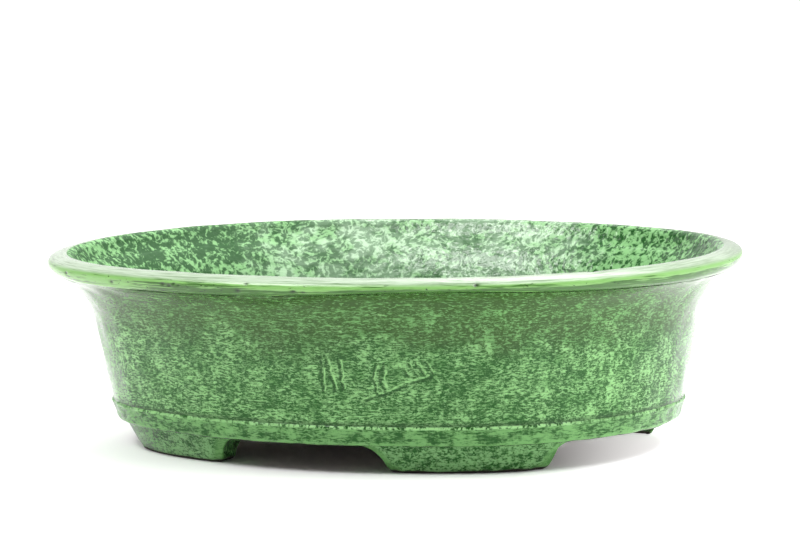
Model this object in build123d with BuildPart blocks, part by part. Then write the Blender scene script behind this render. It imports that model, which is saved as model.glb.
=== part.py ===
from build123d import *
from math import atan2, degrees
import os

# An oval bonsai pot of glazed stoneware, built up the way a potter builds it: a pierced
# floor slab, a flared wall standing in a rebate round it, a rolled rim keyed onto the
# wall, a base band let in under the wall's shoulder, and four feet tenoned into the floor.
#
# Every level of the pot is the rim's oval moved inwards by a constant inset. So each
# cross-section is drawn once, x = -inset from the rim's outline and y = height above the
# ground, and is turned about the centre of each of the oval's four arcs.

# Rim outline: an oval of four tangent arcs
length = 360
width = 280
end_radius = 130

# Levels above the ground
underside = 14          # bottom of the floor slab and of the base band
wall_seat = 18          # rebate of the floor slab that the wall stands on
floor_top = 24          # inside floor, level with the top of the base band
flare_start = 64        # the straight wall turns outwards here
rim_seat = 88           # the rim is seated on the wall here
height = 98

# Wall: straight and leaning below, flared above
wall_foot_inset = 31
wall_thickness = 9
flare_inset = 23
flare_end_inset = 4
flare_inner_inset = 18.5

# Rim: half-round nose, flat top, rounded inner edge
rim_nose_level = 92.8
rim_lower_inset = 3.4
rim_roll = height - rim_nose_level
rim_inner_inset = 11.2
rim_inner_edge_radius = 2
key_inset = 9           # the wall's key, a tongue let up into the rim
key_width = 4
key_height = 3

# Base band
band_back_inset = 36
band_lower_inset = 33
band_ridge_inset = 29.8
band_ridge_width = 2

# Feet: a ring leaning in to the ground, cut away by four arched gaps
foot_top_inset = 36
foot_ground_inset = 42.5
foot_back_inset = 56
tenon_inset = 43
tenon_width = 6
tenon_height = 3
side_gap_top, side_gap_ground = 32.5, 49.5      # half widths of the front and back gaps
end_gap_top, end_gap_ground = 51, 61            # half widths of the gaps at the two ends
toe = 3                 # rounded lower corner of each foot

# Holes in the floor
drain_diameter = 24
drain_spacing = 130
wire_hole_diameter = 6
wire_hole_spacing_x, wire_hole_spacing_y = 200, 64

end_centre = length / 2 - end_radius
end_drop = width / 2 - end_radius
side_centre = (end_centre**2 - end_drop**2) / (2 * end_drop)
side_radius = width / 2 + side_centre
join_angle = degrees(atan2(side_centre, end_centre))

# centre, radius, start angle and span of each arc of the rim's outline
arcs = (
    (Vector(end_centre, 0), end_radius, -join_angle, 2 * join_angle),
    (Vector(0, -side_centre), side_radius, join_angle, 180 - 2 * join_angle),
    (Vector(-end_centre, 0), end_radius, 180 - join_angle, 2 * join_angle),
    (Vector(0, side_centre), side_radius, 180 + join_angle, 180 - 2 * join_angle),
)


def turn_round_the_oval(section):
    """Draw a cross-section where each arc starts, and turn it about that arc's centre."""
    for centre, radius, start, span in arcs:
        outward = Vector(1, 0).rotate(Axis.Z, start)
        across = Plane(centre + outward * radius, x_dir=outward, z_dir=outward.cross(Vector(0, 0, 1)))
        revolve(section(across), axis=Axis(centre, (0, 0, 1)), revolution_arc=span)


def oval(level, inset):
    """The rim's oval at another level, moved inwards by an inset."""
    with BuildSketch(Plane.XY.offset(level)) as outline:
        with BuildLine():
            for centre, radius, start, span in arcs:
                CenterArc(centre, radius - inset, start, span)
        make_face()
    return outline.sketch


def wall_section(across):
    lean = (wall_foot_inset - flare_inset, flare_start - floor_top)
    with BuildSketch(across) as section:
        with BuildLine():
            Polyline(
                (-flare_inset, flare_start),
                (-wall_foot_inset, floor_top),
                (-band_back_inset, floor_top),
                (-band_back_inset, wall_seat),
                (-wall_foot_inset - wall_thickness, wall_seat),
                (-wall_foot_inset - wall_thickness, floor_top),
                (-flare_inset - wall_thickness, flare_start),
            )
            TangentArc((-flare_inset, flare_start), (-flare_end_inset, rim_seat), tangent=lean)
            TangentArc(
                (-flare_inset - wall_thickness, flare_start), (-flare_inner_inset, rim_seat), tangent=lean
            )
            Polyline(
                (-flare_end_inset, rim_seat),
                (-key_inset, rim_seat),
                (-key_inset, rim_seat + key_height),
                (-key_inset - key_width, rim_seat + key_height),
                (-key_inset - key_width, rim_seat),
                (-flare_inner_inset, rim_seat),
            )
        make_face()
    return section.sketch


def rim_section(across):
    with BuildSketch(across) as section:
        with BuildLine():
            TangentArc((-rim_roll, height), (0, rim_nose_level), tangent=(1, 0))
            TangentArc((0, rim_nose_level), (-rim_lower_inset, rim_seat), tangent=(0, -1))
            Polyline(
                (-rim_lower_inset, rim_seat),
                (-key_inset, rim_seat),
                (-key_inset, rim_seat + key_height),
                (-key_inset - key_width, rim_seat + key_height),
                (-key_inset - key_width, rim_seat),
                (-flare_inner_inset, rim_seat),
                (-rim_inner_inset, height),
                (-rim_roll, height),
            )
        make_face()
        inner_edge = vertices().group_by(Axis.Y)[-1].sort_by(Axis.X)[0]
        fillet(inner_edge, radius=rim_inner_edge_radius)
    return section.sketch


def band_section(across):
    with BuildSketch(across) as section:
        with BuildLine():
            Polyline(
                (-band_lower_inset, underside),
                (-band_ridge_inset, floor_top - band_ridge_width),
                (-band_ridge_inset, floor_top),
                (-band_back_inset, floor_top),
                (-band_back_inset, underside),
                close=True,
            )
        make_face()
    return section.sketch


def foot_section(across):
    with BuildSketch(across) as section:
        with BuildLine():
            Polyline(
                (-foot_top_inset, underside),
                (-tenon_inset, underside),
                (-tenon_inset, underside + tenon_height),
                (-tenon_inset - tenon_width, underside + tenon_height),
                (-tenon_inset - tenon_width, underside),
                (-foot_back_inset, underside),
                (-foot_back_inset, 0),
                (-foot_ground_inset, 0),
                close=True,
            )
        make_face()
    return section.sketch


def cut_gap(plane, half_top, half_ground):
    """Cut an arched gap through the ring of feet, symmetrical about the plane's y axis."""
    above_tenon = underside + tenon_height + 1
    below_ground = -1
    with BuildSketch(plane) as gap:
        with BuildLine():
            Polyline((0, above_tenon), (half_top, above_tenon), (half_top, underside))
            arch = TangentArc((half_top, underside), (half_ground - toe, toe), tangent=(1, 0))
            TangentArc(arch @ 1, (half_ground, 0), tangent=arch % 1)
            Polyline((half_ground, 0), (half_ground, below_ground), (0, below_ground))
            mirror(about=Plane.YZ)
        make_face()
    extrude(gap.sketch, amount=length, both=True, mode=Mode.SUBTRACT)


feet = []
for side, front_or_back in (("left", "front"), ("right", "front"), ("left", "back"), ("right", "back")):
    with BuildPart() as foot:
        turn_round_the_oval(foot_section)
        cut_gap(Plane.XZ, side_gap_top, side_gap_ground)
        cut_gap(Plane.YZ, end_gap_top, end_gap_ground)
        split(bisect_by=Plane.YZ, keep=Keep.TOP if side == "right" else Keep.BOTTOM)
        split(bisect_by=Plane.XZ, keep=Keep.TOP if front_or_back == "front" else Keep.BOTTOM)
    foot.part.label = f"{front_or_back}_{side}_foot"
    feet.append(foot.part)

with BuildPart() as floor_slab:
    extrude(oval(underside, band_back_inset), amount=wall_seat - underside)
    extrude(oval(wall_seat, wall_foot_inset + wall_thickness), amount=floor_top - wall_seat)
    with Locations(Plane.XY.offset(floor_top)):
        with GridLocations(drain_spacing, 0, 2, 1):
            Hole(drain_diameter / 2)
        with GridLocations(wire_hole_spacing_x, wire_hole_spacing_y, 2, 2):
            Hole(wire_hole_diameter / 2)
    for foot_part in feet:
        add(foot_part, mode=Mode.SUBTRACT)
floor_slab.part.label = "floor_slab"

with BuildPart() as wall:
    turn_round_the_oval(wall_section)
wall.part.label = "wall"

with BuildPart() as rim:
    turn_round_the_oval(rim_section)
rim.part.label = "rim"

with BuildPart() as base_band:
    turn_round_the_oval(band_section)
base_band.part.label = "base_band"

os.makedirs("parts", exist_ok=True)
for piece in (floor_slab.part, wall.part, rim.part, base_band.part, *feet):
    export_step(piece, f"parts/{piece.label}.step")
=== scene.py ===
import bmesh
import bpy
import numpy as np
from mathutils import Matrix, Vector


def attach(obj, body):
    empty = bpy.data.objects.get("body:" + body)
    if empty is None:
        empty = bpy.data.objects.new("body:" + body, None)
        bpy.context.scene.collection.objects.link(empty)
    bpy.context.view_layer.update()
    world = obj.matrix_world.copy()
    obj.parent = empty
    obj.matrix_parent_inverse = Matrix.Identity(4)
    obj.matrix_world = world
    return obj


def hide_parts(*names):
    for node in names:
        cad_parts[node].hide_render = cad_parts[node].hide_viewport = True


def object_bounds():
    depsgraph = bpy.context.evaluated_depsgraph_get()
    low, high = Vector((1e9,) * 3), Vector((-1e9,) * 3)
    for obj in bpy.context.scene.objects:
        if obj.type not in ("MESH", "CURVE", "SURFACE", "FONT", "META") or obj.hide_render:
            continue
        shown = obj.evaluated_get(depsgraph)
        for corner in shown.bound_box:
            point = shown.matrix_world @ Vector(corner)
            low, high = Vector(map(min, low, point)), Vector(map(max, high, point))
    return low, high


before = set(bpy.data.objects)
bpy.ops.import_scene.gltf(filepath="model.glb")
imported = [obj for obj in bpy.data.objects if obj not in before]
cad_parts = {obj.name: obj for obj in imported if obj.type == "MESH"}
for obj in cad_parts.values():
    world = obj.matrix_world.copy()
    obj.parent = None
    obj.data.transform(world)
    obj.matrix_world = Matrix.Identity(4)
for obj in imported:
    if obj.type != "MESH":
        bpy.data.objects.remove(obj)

cad_box = [list(corner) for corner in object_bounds()]

# --- Studio ------------------------------------------------------------------------------
# A white table, lit through from below past the pot's two ends, and white surroundings, whiter
# behind the pot than in front of it, with soft boxes above the front left, right and back.
scene = bpy.context.scene
scene.view_settings.view_transform = "Standard"

table_radius, table_level = 1.8, -0.0001
bpy.ops.mesh.primitive_circle_add(vertices=96, radius=table_radius, fill_type="NGON",
                                  location=(0, 0, table_level))
table_top = bpy.context.object
table_top.name = "table_top"


class Shade:
    """One output socket of a node tree. Arithmetic on it adds Math nodes."""

    def __init__(self, tree, socket=None):
        self.tree, self.socket = tree, socket

    def node(self, kind, settings=None, inputs=None, output=0):
        """Add a node: its own settings first, then numbers, colours or Shades for its sockets."""
        node = self.tree.nodes.new("ShaderNode" + kind)
        for name, value in (settings or {}).items():
            setattr(node, name, value)
        for name, value in (inputs or {}).items():
            if isinstance(value, Shade):
                self.tree.links.new(value.socket, node.inputs[name])
            else:
                node.inputs[name].default_value = value
        return Shade(self.tree, node.outputs[output])

    def math(self, operation, *values):
        return self.node("Math", {"operation": operation}, dict(enumerate(values)))

    def __add__(self, other):
        return self.math("ADD", self, other)

    def __sub__(self, other):
        return self.math("SUBTRACT", self, other)

    def __rsub__(self, other):
        return self.math("SUBTRACT", other, self)

    def __mul__(self, other):
        return self.math("MULTIPLY", self, other)

    __radd__, __rmul__ = __add__, __mul__

    def part(self, axis):
        """The X, Y or Z of this vector."""
        return self.node("SeparateXYZ", None, {0: self}, axis)

    def step(self, low, high):
        """0 below low, 1 above high, smooth between."""
        inputs = {"Value": self, "From Min": low, "From Max": high}
        return self.node("MapRange", {"interpolation_type": "SMOOTHSTEP"}, inputs)

    def blend(self, first, second):
        """first where this is 0, second where it is 1: colours."""
        return self.node("Mix", {"data_type": "RGBA"}, {0: self, 6: first, 7: second}, 2)

    def noise(self, x, y, z, detail=2.0, rough=0.6, output=0):
        """Noise with x, y and z features per metre, 0 to 1 about a mean of a half."""
        places = self.node("VectorMath", {"operation": "MULTIPLY"}, {0: self, 1: (x, y, z)})
        inputs = {"Vector": places, "Scale": 1.0, "Detail": detail, "Roughness": rough}
        return self.node("TexNoise", None, inputs, output)

    def waver(self, size, amount):
        """This vector shifted by noise of that size, by up to about that amount: metres."""
        drift = self.noise(1 / size, 1 / size, 1 / size, 1, 0.5, 1)
        inputs = {0: drift, 1: (2 * amount, 2 * amount, 2 * amount), 2: self}
        return self.node("VectorMath", {"operation": "MULTIPLY_ADD"}, inputs)

    def bump(self, depth, strength):
        """The normal of a surface that this raises by up to depth, in metres."""
        return self.node("Bump", None, {"Height": self, "Strength": strength, "Distance": depth})


white_table = bpy.data.materials.new("white_table")
white_table.use_nodes = True
table_shader = white_table.node_tree.nodes["Principled BSDF"]
table_shader.inputs["Base Color"].default_value = (0.93, 0.93, 0.925, 1)
table_shader.inputs["Roughness"].default_value = 0.9
table_shader.inputs["Emission Strength"].default_value = 0.65
table_spot = Shade(white_table.node_tree).node("TexCoord", None, None, "Object")
past_right_end = (table_spot.part("X") * 0.87 + table_spot.part("Y") * 0.49).step(0.05, 0.13)
past_left_end = (table_spot.part("X") * -0.87 + table_spot.part("Y") * -0.49).step(0.11, 0.18)
lit = (past_right_end + past_left_end * 0.25).blend((0, 0, 0, 1), (1, 1, 1, 1))
white_table.node_tree.links.new(lit.socket, table_shader.inputs["Emission Color"])
table_top.data.materials.append(white_table)

surroundings = bpy.data.worlds.new("white_surroundings")
surroundings.use_nodes = True
facing = Shade(surroundings.node_tree).node("TexCoord", None, None, "Generated")
whiter_behind, whiter_at_right = facing.part("Y").step(-0.2, 0.5), facing.part("X").step(0.3, 0.9)
whiteness = whiter_behind * 0.80 + whiter_at_right * 0.36 + 0.25
background = surroundings.node_tree.nodes["Background"]
surroundings.node_tree.links.new(whiteness.socket, background.inputs["Strength"])
background.inputs["Color"].default_value = (1, 1, 1, 1)
scene.world = surroundings


def soft_box(name, place, aim, width, height, watts):
    """A rectangular area light at a place, facing the point it is aimed at."""
    light = bpy.data.lights.new(name, "AREA")
    light.shape = "RECTANGLE"
    light.size, light.size_y, light.energy = width, height, watts
    box = bpy.data.objects.new(name, light)
    scene.collection.objects.link(box)
    box.location = place
    box.rotation_euler = (Vector(aim) - Vector(place)).to_track_quat("-Z", "Y").to_euler()


soft_box("left_soft_box", (-0.66, -0.78, 1.30), (0, 0, 0.06), 0.85, 0.65, 21)
soft_box("right_soft_box", (0.80, -0.22, 1.35), (0, 0, 0), 1.1, 0.8, 19)
soft_box("back_soft_box", (0.1, 1.3, 1.9), (0, 1.1, 0), 2.8, 0.9, 36)

# The camera stands a little over two metres away, seen from above the table by a few
# degrees and turned to the right of the front, with a slight roll.
eye_distance, eye_azimuth, eye_elevation, eye_roll = 2.16, 29.66, 8.64, 1.66
azimuth, elevation, roll = np.radians([eye_azimuth, eye_elevation, eye_roll])
eye = eye_distance * Vector((np.sin(azimuth) * np.cos(elevation), -np.cos(azimuth) * np.cos(elevation),
                             np.sin(elevation)))
look_at = Vector((-0.0021, 0.0118, 0.0863))
forward = (look_at - eye).normalized()
right = forward.cross(Vector((0, 0, 1))).normalized()
up = right.cross(forward)
rolled_right = np.cos(roll) * right - np.sin(roll) * up
rolled_up = np.sin(roll) * right + np.cos(roll) * up
lens = bpy.data.cameras.new("camera")
lens.sensor_width, lens.lens = 36, 193.6
lens.clip_start, lens.clip_end = 0.05, 100
camera = bpy.data.objects.new("camera", lens)
scene.collection.objects.link(camera)
turned = Matrix((rolled_right, rolled_up, -forward)).transposed().to_4x4()
camera.matrix_world = Matrix.Translation(eye) @ turned
scene.camera = camera

# --- Floor slab --------------------------------------------------------------------------
# A thick slab of dark brown clay cut to the oval, with two drainage holes and four wire holes
# pierced while it was soft. It is glazed above and left bare below.
mm = 0.001
dark_green = (0.010, 0.076, 0.008, 1)
brown_clay, warm_clay = (0.060, 0.036, 0.024, 1), (0.095, 0.060, 0.040, 1)
inside_light, inside_dark = (0.205, 0.435, 0.170, 1), (0.006, 0.074, 0.006, 1)


def new_material(name):
    """Material, its Object coordinates, the same with the distance along the section for z, and
    the marks that the piece's relief has left."""
    material = bpy.data.materials.new(name)
    material.use_nodes = True
    spot = Shade(material.node_tree).node("TexCoord", None, None, "Object")
    along = spot.node("Attribute", {"attribute_name": "along"}, None, "Fac")
    mark = spot.node("Attribute", {"attribute_name": "mark"}, None, "Fac")
    lay = spot.node("CombineXYZ", None, {0: spot.part("X"), 1: spot.part("Y"), 2: along})
    return material, spot, lay, mark


def finish(material, green, roughness, normal, index):
    """Join colour, roughness and normal up to the material's shader; index is its IOR."""
    shader = material.node_tree.nodes["Principled BSDF"]
    shader.inputs["IOR"].default_value = index
    for name, value in (("Base Color", green), ("Roughness", roughness), ("Normal", normal)):
        if isinstance(value, Shade):
            material.node_tree.links.new(value.socket, shader.inputs[name])
        else:
            shader.inputs[name].default_value = value
    return material


def pooled(spot):
    """The thick inner glaze: soft blotches crossed by narrow worm-like lines where it has drawn
    back, 1 where it is light. It has less of the light towards both ends."""
    wavy = spot.waver(0.010, 0.003)
    blotches = wavy.noise(250, 250, 280, 3, 0.7)
    clouds = spot.noise(24, 24, 45, 1, 0.5)
    leftward = (spot.part("X") * -1).step(-0.01, 0.10)
    rightward = spot.part("X").step(0.08, 0.15)
    drawn = wavy.noise(260, 260, 300, 1) - 0.5
    worms = drawn.math("ABSOLUTE", drawn)
    # Less of the light green towards both ends.
    less_light_at_ends = leftward * 0.015 + rightward * 0.05
    return (blotches + (clouds - 0.5) * 0.30 - worms * 0.9 - less_light_at_ends + 0.010).step(0.36, 0.56)


def floor_glaze():
    """Glaze on top of the slab, ending in an uneven line above the bare clay underneath."""
    material, spot = new_material("floor_glaze")[:2]
    light = pooled(spot)
    uneven_height = spot.part("Z") + (spot.noise(90, 90, 90) - 0.5) * 0.008
    clay = 1 - uneven_height.step(0.0175, 0.0205)
    fired = spot.noise(600, 600, 600, 3).blend(brown_clay, warm_clay)
    green = clay.blend(light.blend(inside_dark, inside_light), fired)
    return finish(material, green, clay * 0.5 + 0.2, spot.noise(300, 300, 300).bump(0.0006, 0.4), 1.5)


slab_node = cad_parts["floor_slab"]
slab = bmesh.new()
slab.from_mesh(slab_node.data)
slab.transform(slab_node.matrix_world)
bmesh.ops.remove_doubles(slab, verts=slab.verts, dist=1e-6)
bmesh.ops.dissolve_limit(slab, angle_limit=np.radians(1), verts=slab.verts, edges=slab.edges)
slab_mesh = bpy.data.meshes.new("pierced_floor")
slab.to_mesh(slab_mesh)
slab.free()
floor_slab = bpy.data.objects.new("pierced_floor", slab_mesh)
scene.collection.objects.link(floor_slab)
floor_slab.data.materials.append(floor_glaze())
softened = floor_slab.modifiers.new("softened_edges", "BEVEL")
softened.width, softened.segments, softened.limit_method = 0.9 * mm, 3, "ANGLE"
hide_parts("floor_slab")
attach(floor_slab, "root")

# --- Wall --------------------------------------------------------------------------------
# A strip of clay stood round the slab and joined into an oval of four tangent arcs, leaning
# out and flared at the top. The clay still shows brush lines, scratches and a short crack.
half_length, half_width = cad_box[1][:2]
end_radius = 130 * mm
end_centre = half_length - end_radius
end_drop = half_width - end_radius
side_centre = (end_centre**2 - end_drop**2) / (2 * end_drop)
side_radius = half_width + side_centre
join = np.arctan2(side_centre, end_centre)
perimeter = 4 * (join * end_radius + (np.pi / 2 - join) * side_radius)

# Levels, and insets from the rim's outline, in mm, that several pieces share.
wall_seat, floor_top, flare_start, rim_seat, nose = 18, 24, 64, 88, 93.2
band_inset, seat_inset, inner_inset = 30.4, 36, 40
key_outside, key_inside, key_top = 9, 13, 91
rim_outside, rim_inside = 4, 18.5


def on_oval(turn, inset, level):
    """Point whose outward direction is at angle turn from +X: the arc's centre plus
    (arc radius - inset) * (cos turn, sin turn), at that level. End arcs where |sin| is small."""
    turn, inset, level = np.broadcast_arrays(turn, inset, level)
    across, along = np.cos(turn), np.sin(turn)
    at_end = np.abs(along) < np.sin(join)
    radius = np.where(at_end, end_radius, side_radius) - inset
    x = np.where(at_end, np.sign(across) * end_centre, 0) + radius * across
    y = np.where(at_end, 0, -np.sign(along) * side_centre) + radius * along
    return np.stack([x, y, level], -1)


def stations(count, crowd):
    """Outward directions of count places along the rim's outline and their distances from the
    front, starting at the back, closer together where crowd(distance) is above 1: the inverse
    of the running sum of crowd * radius * dturn."""
    turn = np.linspace(0.5 * np.pi, 2.5 * np.pi, 20001)
    radius = np.where(np.abs(np.sin(turn)) < np.sin(join), end_radius, side_radius)
    length = np.concatenate([[0], np.cumsum(0.5 * (radius[1:] + radius[:-1]) * np.diff(turn))])
    weight = np.broadcast_to(crowd(length - length[-1] / 2), turn.shape)
    share = np.concatenate([[0], np.cumsum(0.5 * (weight[1:] + weight[:-1]) * np.diff(length))])
    at = np.arange(count) / count * share[-1]
    return np.interp(at, share, turn), np.interp(at, share, length) - length[-1] / 2


def line(start, end, count):
    """Points evenly spaced from start to end, the end left out."""
    share = np.arange(count)[:, None] / count
    return np.array(start) * (1 - share) + np.array(end) * share


def bend(start, end, heading, count):
    """Circular arc from start to end that sets off along heading, the end left out. With c the
    chord and a the angle from heading to c, it turns by 2a on the radius |c| / (2 sin a)."""
    start, end = np.array(start, float), np.array(end, float)
    chord = end - start
    heading = np.array(heading, float) / np.hypot(*heading)
    angle = np.arctan2(heading[0] * chord[1] - heading[1] * chord[0], heading @ chord)
    radius = np.hypot(*chord) / (2 * np.sin(angle))
    swept = 2 * angle * np.arange(count)[:, None] / count
    side = np.array([-heading[1], heading[0]])
    return start + radius * (np.sin(swept) * heading + (1 - np.cos(swept)) * side)


def waves(around, across, length_around, length_across, seed, count=40):
    """Random relief of unit strength: sqrt(2 / count) times a sum of cos(2 pi (k s / perimeter
    + f t) + phase), k a whole number so that it meets itself, k and f normally distributed."""
    rng = np.random.default_rng(seed)
    k = np.round(rng.normal(0, perimeter / length_around, count))
    f = rng.normal(0, 1 / length_across, count)
    phase = rng.uniform(0, 2 * np.pi, count)
    total = np.zeros(np.broadcast(around, across).shape)
    for number, frequency, start in zip(k, f, phase):
        total += np.cos(2 * np.pi * (number * around / perimeter + frequency * across) + start)
    return np.sqrt(2 / count) * total


def grid_piece(name, points, attributes, materials, material_of, closed=True):
    """Mesh of quads over points[i, j]. i runs anticlockwise round the pot and j up the outside
    and down the inside, so faces point outwards. j closes on itself, and i too if closed."""
    rows, columns = points.shape[:2]
    a = np.arange(rows * columns).reshape(rows, columns)
    b = np.roll(a, -1, 0)
    quads = np.stack([a, b, np.roll(b, -1, 1), np.roll(a, -1, 1)], -1)
    quads = quads[:rows if closed else rows - 1].reshape(-1, 4)
    mesh = bpy.data.meshes.new(name)
    mesh.from_pydata(points.reshape(-1, 3), [], quads)
    for title, values in attributes.items():
        values = np.broadcast_to(values, (rows, columns)).astype(np.float32).ravel()
        mesh.attributes.new(title, "FLOAT", "POINT").data.foreach_set("value", values)
    for material in materials:
        mesh.materials.append(material)
    which = np.broadcast_to(material_of, (rows, columns)).astype(np.int32).ravel()
    mesh.polygons.foreach_set("material_index", which[:len(quads)])
    mesh.polygons.foreach_set("use_smooth", np.ones(len(quads), bool))
    mesh.set_sharp_from_angle(angle=np.radians(50))
    mesh.update()
    piece = bpy.data.objects.new(name, mesh)
    scene.collection.objects.link(piece)
    return piece


def ring(name, section, relief, count, materials, material_of, dimpled=0, crowd=np.ones_like):
    """A section, (inset, level) in mm and anticlockwise, carried round the oval. Each point moves
    out along the section's own normal by relief(distance from the front, distance along, level),
    up by seam_rise, and inwards by pebbles where it is dimpled."""
    section = section * mm
    turn, distance = stations(count, crowd)
    tangent = np.roll(section, -1, 0) - np.roll(section, 1, 0)
    tangent /= np.hypot(*tangent.T)[:, None]
    along = np.concatenate([[0], np.cumsum(np.hypot(*np.diff(section, axis=0).T))])
    push, mark = relief(distance[:, None], along[None, :], section[None, :, 1])
    inset = section[:, 0] - tangent[:, 1] * push
    inset = inset + dimpled * pebbles(distance[:, None], section[None, :, 1])
    level = section[:, 1] + tangent[:, 0] * push
    level = level + seam_rise(distance[:, None], section[None, :, 1])
    points = on_oval(turn[:, None], inset, level)
    return grid_piece(name, points, {"along": along, "mark": mark}, materials, material_of)


def seam_rise(around, level):
    """How far the joint of wall and rim climbs above the rim's seat, most at the front right
    where the coil was rolled thinnest: 3 mm * exp(-((s - 95 mm) / 75 mm)^2), fading out over
    20 mm below the joint and up to the nose above it."""
    lift = 3.0 * mm * np.exp(-((around / mm - 95) / 75)**2)
    below = np.clip((level / mm - (rim_seat - 20)) / 20, 0, 1)
    above = np.clip((nose - level / mm) / (nose - rim_seat), 0, 1)
    return lift * below * above


def pebbles(around, level):
    """The dimpled inside, the same on wall and rim so that it runs on over the joint."""
    return waves(around, level, 8 * mm, 7 * mm, 3) * 0.09 * mm


lean = (-8, 40)
flare_outside, flare_inside = 23, 32
outer = np.concatenate([
    line((seat_inset, wall_seat), (seat_inset, floor_top), 2),
    line((seat_inset, floor_top), (band_inset, floor_top), 3),
    line((band_inset, floor_top), (flare_outside, flare_start), 60),
    bend((flare_outside, flare_start), (rim_outside, rim_seat), lean, 26)])
top = np.concatenate([
    line((rim_outside, rim_seat), (key_outside, rim_seat), 2),
    line((key_outside, rim_seat), (key_outside, key_top), 1),
    line((key_outside, key_top), (key_inside, key_top), 1),
    line((key_inside, key_top), (key_inside, rim_seat), 1),
    line((key_inside, rim_seat), (rim_inside, rim_seat), 2)])
inner = np.concatenate([
    [(rim_inside, rim_seat)],
    bend((flare_inside, flare_start), (rim_inside, rim_seat), lean, 15)[:0:-1],
    line((flare_inside, flare_start), (inner_inset, floor_top), 16),
    line((inner_inset, floor_top), (inner_inset, wall_seat), 1),
    line((inner_inset, wall_seat), (seat_inset, wall_seat), 1)])
wall_section = np.concatenate([outer, top, inner])


def stroke(around, level, start, end, width):
    """How deep a straight scratch is, 0 to 1, and the light burr on its right: exp(-(d / width)^2)
    with d the distance from the line, and the same about a line 1.9 widths to the right."""
    along = np.array(end) - np.array(start)
    length = np.hypot(*along)
    x, y = around / mm - start[0], level / mm - start[1]
    share = np.clip((x * along[0] + y * along[1]) / length**2, 0, 1)
    off_x, off_y = x - share * along[0], y - share * along[1]
    side = (y * along[0] - x * along[1]) / length
    depth = np.exp(-(off_x**2 + off_y**2) / width**2)
    burr = np.exp(-(np.abs(side) - 1.9 * width)**2 / width**2)
    return depth, burr * (side > 0) * (share > 0.02) * (share < 0.98)


def wall_relief(around, along, level):
    """Brush ridges, slow unevenness and scratches outside, none at the joints. A scratch has its
    start and end, (distance from the front, level), and its width in mm."""
    column = np.arange(level.shape[1])[None, :]
    outside = (column > 5) & (column < len(outer))
    slow = waves(around, along, 60 * mm, 30 * mm, 1) * 0.22 * mm
    ridges = waves(around, along, 16 * mm, 2.6 * mm, 2) * 0.03 * mm
    depth, burr = 0 * slow, 0 * slow
    unsteady = waves(around, level, 9 * mm, 7 * mm, 5) * 0.4 * mm
    upright = [((27.9, 58.5), (25.6, 41), 0.75), ((29.9, 58.5), (33.3, 41.5), 0.75),
               ((37.3, 57), (37.4, 42), 0.7)]
    bent = [((58.3, 56), (55.4, 48), 0.6), ((55.4, 48), (56.9, 40), 0.6),
            ((62.6, 55), (59.4, 48), 0.8), ((59.4, 48), (61.8, 41), 0.8)]
    hatched = [((71.2, 54), (75, 49), 0.5), ((75.3, 55), (80, 48.5), 0.5),
               ((79, 55.8), (83.6, 49.5), 0.5), ((84, 56), (88, 50), 0.5)]
    slanting = [((48.6, 36), (54, 38), 0.6), ((54, 38), (64.4, 40.5), 0.6),
                ((64.4, 40.5), (73.1, 44.5), 0.6), ((73.1, 44.5), (87.5, 48.2), 0.6)]
    crack = [((-28, 34.5), (-4, 33.6), 0.3)]
    for start, end, width in upright + bent + hatched + slanting + crack:
        groove, edge = stroke(around + unsteady, level, start, end, width * 1.15)
        depth, burr = np.maximum(depth, groove), np.maximum(burr, edge)
    depth, burr = outside * depth, outside * burr * 0.55
    return outside * (slow + ridges) - depth * 0.28 * mm, depth - burr


def dashes(lay):
    """Short level dabs crossed by faint upright columns, as the sponge and brush left them."""
    wavy = lay.waver(0.004, 0.0009)
    return wavy.noise(260, 260, 1350, 3, 0.75) * 0.76 + wavy.noise(560, 560, 240, 2, 0.6) * 0.24


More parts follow.
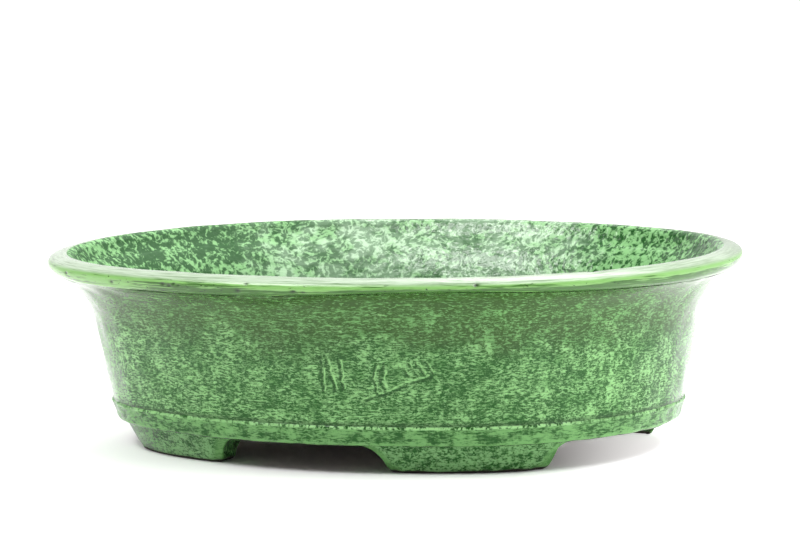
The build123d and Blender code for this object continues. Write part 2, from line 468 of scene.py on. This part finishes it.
def wall_glaze():
    """A dark green flooded on and a light one dabbed over it nearly dry: level dashes at the
    front, upright strokes at the left end, columns of speckle at the right, long dark streaks
    under the rim, where the dark is olive and the wall is darkened further, partly as painted
    shade under the rim's overhang. Thin light squiggles and flecks of both greens lie over them,
    and the scratches are dark with a light burr. The groove just above the band is painted dark
    as shade."""
    material, spot, lay, mark = new_material("wall_glaze")
    x, z = spot.part("X"), spot.part("Z")
    wavy = lay.waver(0.006, 0.0008)
    upright_strokes = wavy.noise(900, 900, 260, 3, 0.7)
    speckle = wavy.noise(640, 640, 860, 3, 0.7)
    streaks = lay.noise(40, 40, 1000, 3, 0.6)
    patch = lay.noise(28, 28, 40, 1, 0.5)
    leftward = (patch * 0.12 - x).step(0.155, 0.195)
    rightward = (patch * 0.16 + x).step(0.12, 0.22)
    high = (z + (patch - 0.5) * 0.03).step(0.054, 0.074)
    # Under the rim the wall gets more of the dark: partly painted shade under the rim's overhang, partly
    # the glaze's streaks.
    shade_and_streaks_under_rim = z.step(0.079, 0.086)
    strokes = dashes(lay)
    strokes = strokes + (upright_strokes - strokes) * leftward
    strokes = strokes + (speckle - strokes) * rightward * 0.6
    level_brushed = (1 - leftward) * (1 - rightward * 0.7)
    strokes = strokes + (streaks - strokes) * (high * 0.34 + shade_and_streaks_under_rim * 0.40) * level_brushed
    blotches = lay.noise(90, 90, 120, 2)
    columns = spot.noise(200, 200, 30, 2, 0.5)
    cover = (blotches - 0.5) * 0.15 + (columns - 0.5) * (rightward * 0.20 + 0.13)
    cover = cover - high * 0.012 - rightward * 0.002 - shade_and_streaks_under_rim * 0.055 - 0.040
    tone = (strokes + cover).step(0.43, 0.57)
    drawn = lay.waver(0.005, 0.0020).noise(330, 330, 620, 2) - 0.5
    squiggles = 1 - drawn.math("ABSOLUTE", drawn).step(0.010, 0.030)
    tone = tone + (1 - tone) * squiggles * (1 - shade_and_streaks_under_rim) * (1 - high * 0.5) * 0.55
    flecks = wavy.noise(430, 430, 1500, 1)
    tone = tone + (1 - tone) * flecks.step(0.57, 0.64) * 0.75
    tone = tone * (flecks.step(0.36, 0.43) * 0.8 + 0.2)
    dark = high.blend(dark_green, (0.030, 0.074, 0.013, 1))
    light = (blotches - high * 0.25).step(0.32, 0.55)
    light = light.blend((0.135, 0.325, 0.100, 1), (0.240, 0.490, 0.180, 1))
    green = tone.blend(dark, light)
    ragged = wavy.noise(500, 500, 500, 2).step(0.34, 0.56) * 0.6 + 0.4
    green = (mark.step(0.15, 0.80) * ragged * 0.9).blend(green, (0.006, 0.050, 0.005, 1))
    green = ((mark * -1).step(0.10, 0.55) * ragged).blend(green, (0.280, 0.550, 0.205, 1))
    # Darker just above the band's ridge: painted shade in the groove there.
    groove_shade = 1 - z.step(0.0246, 0.0268)
    green = (groove_shade * 0.6).blend(green, (0.010, 0.042, 0.008, 1))
    height = tone * 0.6 + lay.noise(900, 900, 1300, 1) * 0.4
    return finish(material, green, tone * 0.10 + 0.14, height.bump(0.0003, 0.35), 1.33)


def inner_glaze():
    """Inside of the wall and rim: the same two greens, run together thickly and dimpled, and
    less glossy at the left end. Left of the middle, paler greyish greens in blotches are a painted
    highlight that stands in for the lamps' glints on the far inside."""
    material, spot = new_material("inner_glaze")[:2]
    x = spot.part("X")
    light = pooled(spot)
    green = light.blend(inside_dark, inside_light)
    # Left of the middle the greens turn pale in blotches: a painted highlight for the lamps' glints.
    from_glints_middle = x.math("ABSOLUTE", x + 0.035)
    painted_glints = 1 - (from_glints_middle + (spot.noise(60, 60, 90, 2) - 0.5) * 0.10).step(0.045, 0.105)
    painted_glints = painted_glints * (spot.noise(70, 70, 150, 3).step(0.36, 0.58) * 0.65 + 0.25)
    green = painted_glints.blend(green, light.blend((0.190, 0.300, 0.185, 1), (0.470, 0.640, 0.450, 1)))
    dull = (x * -1).step(0.04, 0.11) * 0.35 + 0.25
    return finish(material, green, dull, spot.noise(230, 230, 270, 2).bump(0.0014, 0.5), 1.45)


def closer_at_scratches(around):
    """2.7 times as many stations where the front is scratched."""
    return 1 + 1.7 * ((around > 20 * mm) & (around < 93 * mm))


inside_glaze = inner_glaze()
column = np.arange(len(wall_section))
inside = (column >= len(outer) + len(top)) & (column < len(wall_section) - 3)
wall = ring("glazed_wall", wall_section, wall_relief, 760, [wall_glaze(), inside_glaze],
            column >= len(outer), inside, closer_at_scratches)
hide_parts("wall")
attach(wall, "root")

# --- Rim ---------------------------------------------------------------------------------
# A coil of clay keyed onto the wall's top edge and rolled to a soft nose with a crowned top.
# Its outside is brushed lengthwise with the light green, its inside glazed like the wall's.
shoulder, summit, brow, inner_edge = (1.9, 96.2), (8.6, 97.95), (11.4, 97.3), (12.9, 95.8)
lip = np.concatenate([
    bend((rim_outside, rim_seat), (0, nose), (-4.6, 1.0), 14),
    bend((0, nose), shoulder, (0, 1), 10),
    bend(shoulder, summit, (0.905, 0.426), 12)])
crest = np.concatenate([bend(summit, brow, (1, 0), 5), bend(brow, inner_edge, (10, -4.5), 5)])
inner_face = bend(inner_edge, (rim_inside, rim_seat), (0.43, -0.90), 14)
seated = np.concatenate([
    line((rim_inside, rim_seat), (key_inside, rim_seat), 2),
    line((key_inside, rim_seat), (key_inside, key_top), 1),
    line((key_inside, key_top), (key_outside, key_top), 1),
    line((key_outside, key_top), (key_outside, rim_seat), 1),
    line((key_outside, rim_seat), (rim_outside, rim_seat), 3)])
rim_section = np.concatenate([lip, crest, inner_face, seated])
crest_end = len(lip) + len(crest)


def rim_relief(around, along, level):
    """Slow unevenness, fine lengthwise brush lines, pinholes and one chip, all outside. A pit
    has its distance from the front, its level and its radius in mm."""
    column = np.arange(level.shape[1])[None, :]
    outside = column < crest_end
    slow = waves(around, along, 60 * mm, 14 * mm, 11) * 0.08 * mm - 0.18 * mm
    lines = waves(around, along, 20 * mm, 1.4 * mm, 12) * 0.02 * mm
    pits = 0 * around * along
    pinholes = ((-130, 92.8, 0.8), (-87, 91.4, 0.7), (-50, 92.8, 0.8), (-46, 92.2, 0.7),
                (-43, 93.4, 0.5), (-40, 92.6, 0.5), (-5, 91.2, 0.8), (0, 95, 0.5),
                (25, 91.4, 0.8), (30, 90.8, 0.6), (114, 95, 0.8))
    chip = (174, 97.3, 1.3)
    for at, up, radius in (*pinholes, chip):
        far = np.hypot((around - at * mm) * 0.55, level - up * mm) / (radius * mm)
        pits = pits + np.exp(-far**2) * outside * ((up < 97) | (column > len(lip) - 3))
    return outside * np.minimum(slow + lines, 0) - pits * 0.5 * mm, np.minimum(pits * 1.3, 1)


def rim_glaze():
    """Light green brushed round the rim. The pale streaky greens on top, except at the back, are a
    painted reflection of the white surroundings, streaked by the brush lines. Along its lower half
    it is darker olive in streaks, more of them towards the right. The crease under the lip is
    painted shade."""
    material, spot, lay, mark = new_material("rim_glaze")
    x, z = spot.part("X"), spot.part("Z")
    brushed = lay.waver(0.040, 0.0010)
    streaks = brushed.noise(55, 55, 1500, 3)
    wear = lay.noise(26, 26, 170, 2)
    low = 1 - (lay.part("Z") + (wear - 0.5) * 0.004).step(0.0052, 0.0082)
    upper = z.step(0.0940, 0.0960)
    rightward = x.step(-0.11, 0.01)
    cover = (wear - 0.5) * 0.34 + 0.12 + upper * 0.06 - low * (rightward * 0.23 + 0.03)
    tone = (streaks + cover).step(0.42, 0.58)
    # The rim's olive: more of it in streaks along the lower half and towards the right.
    rim_olive = rightward.blend((0.050, 0.110, 0.030, 1), (0.040, 0.120, 0.020, 1))
    # The pale greens on top are a painted reflection of the white surroundings, left out at the back.
    painted_top_reflection = streaks.step(0.35, 0.65).blend((0.215, 0.295, 0.185, 1), (0.335, 0.425, 0.305, 1))
    behind = spot.part("Y").step(0.0, 0.08)
    painted_top_reflection = behind.blend(painted_top_reflection, (0.085, 0.165, 0.060, 1))
    # Light green below the top, and the painted reflection on the top.
    light_green_and_top_reflection = upper.blend((0.185, 0.385, 0.110, 1), painted_top_reflection)
    green = tone.blend(rim_olive, light_green_and_top_reflection)
    specks = lay.noise(520, 520, 900, 1).step(0.66, 0.71)
    specks = specks * lay.noise(60, 60, 250, 1).step(0.52, 0.62)
    # A broken dark line along the crease under the lip: painted shade. The pinholes, chip and specks
    # darkened with it belong to the glaze.
    crease_shade = 1 - lay.part("Z").step(0.0002, 0.0010)
    crease_shade = crease_shade * lay.noise(90, 90, 90, 2).step(0.45, 0.62)
    dark = crease_shade.math("MAXIMUM", crease_shade, mark + specks * (1 - upper))
    green = dark.blend(green, (0.012, 0.030, 0.008, 1))
    return finish(material, green, 0.14, streaks.bump(0.0004, 0.3), 1.45)


column = np.arange(len(rim_section))
inside = (column >= crest_end) & (column <= crest_end + len(inner_face))
rim = ring("rolled_rim", rim_section, rim_relief, 1200, [rim_glaze(), inside_glaze],
           column > len(lip) + 1, inside)
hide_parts("rim")
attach(rim, "root")

# --- Base band ---------------------------------------------------------------------------
# A flat strip pressed round the foot of the wall; its top edge is a thin tooled ridge, and
# its lower edge is softened.
underside = 14
lower_edge, ridge_foot, ridge_top = (32.0, 16.4), (30.3, 22), (30.7, 24.3)
band_section = np.concatenate([
    bend((34.2, underside), lower_edge, (-1, 0.1), 6),
    line(lower_edge, ridge_foot, 12),
    bend(ridge_foot, ridge_top, (-1.0, 1.6), 7),
    line(ridge_top, (seat_inset, floor_top), 4),
    line((seat_inset, floor_top), (seat_inset, underside), 2),
    line((seat_inset, underside), (34.2, underside), 2)])


def band_relief(around, along, level):
    """Slow unevenness, and ticks that the tool left along the ridge."""
    ridge = np.exp(-((level / mm - 23.3) / 0.6)**2)
    ticks = waves(around, along, 3.5 * mm, 3 * mm, 22) * 0.12 * mm * ridge
    return waves(around, along, 30 * mm, 12 * mm, 21) * 0.12 * mm + ticks, 0 * around * along


def band_glaze():
    """Dabbed like the wall, with a painted highlight along the softened lower edge. Along the ridge
    it is light and dark by turns, the tool's ticks, on a paler green that is partly a painted
    highlight where the ridge catches the light. The underside is painted dark as shade."""
    material, spot, lay = new_material("band_glaze")[:3]
    z = spot.part("Z")
    blotches = lay.noise(110, 110, 160, 2)
    # A paler green along the ridge: partly a painted highlight where it catches the light; the ticks
    # break it light and dark.
    proud = z.step(0.0222, 0.0230) * (1 - z.step(0.0240, 0.0244))
    ridge = proud * (lay.noise(25, 25, 25, 1).step(0.35, 0.6) * 0.4 + 0.6)
    # Lighter along the softened lower edge: painted highlight.
    edge = z.step(0.0142, 0.0148) * (1 - z.step(0.0152, 0.0162))
    ticks = lay.waver(0.003, 0.0008).noise(560, 560, 300, 2)
    tone = (dashes(lay) + (blotches - 0.5) * 0.5 + edge * 0.10 + 0.015).step(0.41, 0.60)
    tone = tone + (ticks.step(0.40, 0.56) - tone) * ridge
    light = ridge.blend((0.150, 0.350, 0.110, 1), (0.300, 0.570, 0.230, 1))
    green = tone.blend(dark_green, light)
    # Near black on the underside: painted shade under the band.
    green = (1 - z.step(0.0140, 0.0145)).blend(green, (0.012, 0.030, 0.008, 1))
    return finish(material, green, 0.18, tone.bump(0.0004, 0.35), 1.33)


band = ring("tooled_band", band_section, band_relief, 1200, [band_glaze()], 0)
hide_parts("base_band")
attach(band, "root")

# --- Feet --------------------------------------------------------------------------------
# Four bracket feet tenoned into the floor slab under the band. The arch between two feet is
# cut with a wire and its edge wiped to a soft bevel, where the glaze lies plain and light.
foot_top, foot_ground, foot_back = seat_inset, 42.5, 56
tenon_outside, tenon_inside, tenon_top = 43, 49, 17
side_gap, end_gap, toe = (32.5, 49.5), (51, 61), 3
turned_columns, face_columns, bevel = 5, 17, 2.4


def arch(half_top, half_ground, count):
    """Edge of a gap, (half width, level) from its top to the ground: an arc that leaves the
    underside level, and a small arc that rounds the toe."""
    heel = (half_ground - toe, toe)
    down = bend((half_top, underside), heel, (1, 0), count)
    steep = 2 * np.arctan2(underside - toe, heel[0] - half_top)
    rounded = bend(heel, (half_ground, 0), (np.cos(steep), -np.sin(steep)), count // 2)
    return np.concatenate([down, rounded, [(half_ground, 0)]])


def foot_points():
    """The front right foot as a grid: rows from the front gap to the end gap, columns round its
    section. A row of the front arch keeps x and one of the end arch keeps y, at every inset."""
    side_arch, end_arch = arch(*side_gap, 16), arch(*end_gap, 16)[::-1]
    share = 0.5 - 0.5 * np.cos(np.pi * np.arange(1, 60) / 60)
    lowest = np.concatenate([side_arch[:, 1], 0 * share, end_arch[:, 1]])[:, None]
    rows = len(lowest)
    soft = np.minimum(0.9, (underside - lowest) / 3)
    quarter = np.radians(np.linspace(0, 90, turned_columns))[None, :]
    turned_level = lowest + soft * (1 - np.cos(quarter))
    rising = np.linspace(0, 1, face_columns - turned_columns + 1)[None, 1:]
    face_level = turned_level[:, -1:] + (underside - turned_level[:, -1:]) * rising
    outer_level = np.concatenate([turned_level, face_level], 1)
    outer_inset = foot_top + (foot_ground - foot_top) * (1 - outer_level / underside)
    outer_inset[:, :turned_columns] += soft * (1 - np.sin(quarter))
    hidden = np.array([(tenon_outside, underside), (tenon_outside, tenon_top), (tenon_inside, tenon_top),
                       (tenon_inside, underside), (foot_back, underside)])
    falling = np.linspace(0, 1, 7)[None, 1:]
    back_level = underside + (lowest - underside) * falling
    ground_inset = foot_back + (outer_inset[:, :1] - foot_back) * falling[:, :-1]
    inset = np.concatenate([outer_inset, np.tile(hidden[:, 0], (rows, 1)), 0 * back_level + foot_back,
                            ground_inset], 1)
    level = np.concatenate([outer_level, np.tile(hidden[:, 1], (rows, 1)), back_level,
                            lowest + 0 * ground_inset], 1)
    along = np.concatenate([0 * lowest, np.cumsum(np.hypot(np.diff(inset), np.diff(level)), 1)], 1)
    along = (along - along[:, face_columns - 1:face_columns]) * mm
    side_arc, end_arc = side_radius / mm - inset, end_radius / mm - inset
    count = len(side_arch)
    first = np.arcsin(side_arch[:, :1] / side_arc[:count])
    last = np.arccos(end_arch[:, :1] / end_arc[-count:])
    start = np.arcsin(side_gap[1] / side_arc[count:-count])
    end = np.arccos(end_gap[1] / end_arc[count:-count])
    turn = np.concatenate([first, start + (end - start) * share[:, None], last]) - np.pi / 2
    spot = on_oval(turn, inset * mm, level * mm)[:, :face_columns] / mm
    near = []
    for edge, axis in ((side_arch, 0), (end_arch, 1)):
        beside = np.abs(spot[..., axis])[..., None] - edge[:, 0]
        near.append(np.hypot(beside, spot[..., 2][..., None] - edge[:, 1]).min(-1))
    wiped = np.clip(1 - np.minimum(*near) / 4.5, 0, 1)
    wiped[:, -1] = 0
    inset[:, :face_columns] += wiped * bevel
    plain = np.zeros(inset.shape)
    plain[:, :face_columns] = np.clip(wiped * 2.2, 0, 1)
    return on_oval(turn, inset * mm, np.maximum(level, 0) * mm), along, plain


def foot_glaze():
    """Mostly the dark green with small dabs of light; the wiped edges are plain light green,
    and the lowest edge is bare fired clay, painted near black as contact shadow on the table."""
    material, spot, lay, mark = new_material("foot_glaze")
    z = spot.part("Z")
    blotches = lay.noise(100, 100, 160, 2)
    dabs = lay.waver(0.003, 0.0010).noise(620, 620, 800, 2, 0.7)
    tone = (dashes(lay) * 0.5 + dabs * 0.5 + (blotches - 0.5) * 0.30 + 0.005).step(0.43, 0.58)
    green = tone.blend(dark_green, (0.190, 0.400, 0.150, 1))
    wiped = mark * (tone * 0.3 + 0.6)
    green = wiped.blend(green, (0.140, 0.340, 0.100, 1))
    # The lowest edge: bare clay, painted near black as contact shadow where the foot stands.
    clay = 1 - (z + (blotches - 0.5) * 0.002).step(0.0009, 0.0018)
    green = clay.blend(green, (0.022, 0.018, 0.012, 1))
    return finish(material, green, clay * 0.5 + 0.18, tone.bump(0.0004, 0.35), 1.33)


foot_grid, foot_along, foot_plain = foot_points()
glazed_feet = foot_glaze()
for node_name, x_side, y_side in (("front_right_foot", 1, 1), ("front_left_foot", -1, 1),
                                  ("back_right_foot", 1, -1), ("back_left_foot", -1, -1)):
    order = slice(None, None, x_side * y_side)
    points = (foot_grid * (x_side, y_side, 1))[order]
    middle = points.mean(1, keepdims=True) + 0 * points
    points = np.concatenate([middle[:1], points, middle[-1:]])
    along = np.pad(foot_along[order], ((1, 1), (0, 0)), "edge")
    plain = np.pad(foot_plain[order], ((1, 1), (0, 0)), "edge")
    foot = grid_piece("glazed_" + node_name, points, {"along": along, "mark": plain},
                      [glazed_feet], 0, False)
    ends = bmesh.new()
    ends.from_mesh(foot.data)
    bmesh.ops.remove_doubles(ends, verts=ends.verts, dist=1e-7)
    ends.to_mesh(foot.data)
    ends.free()
    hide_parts(node_name)
    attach(foot, "root")
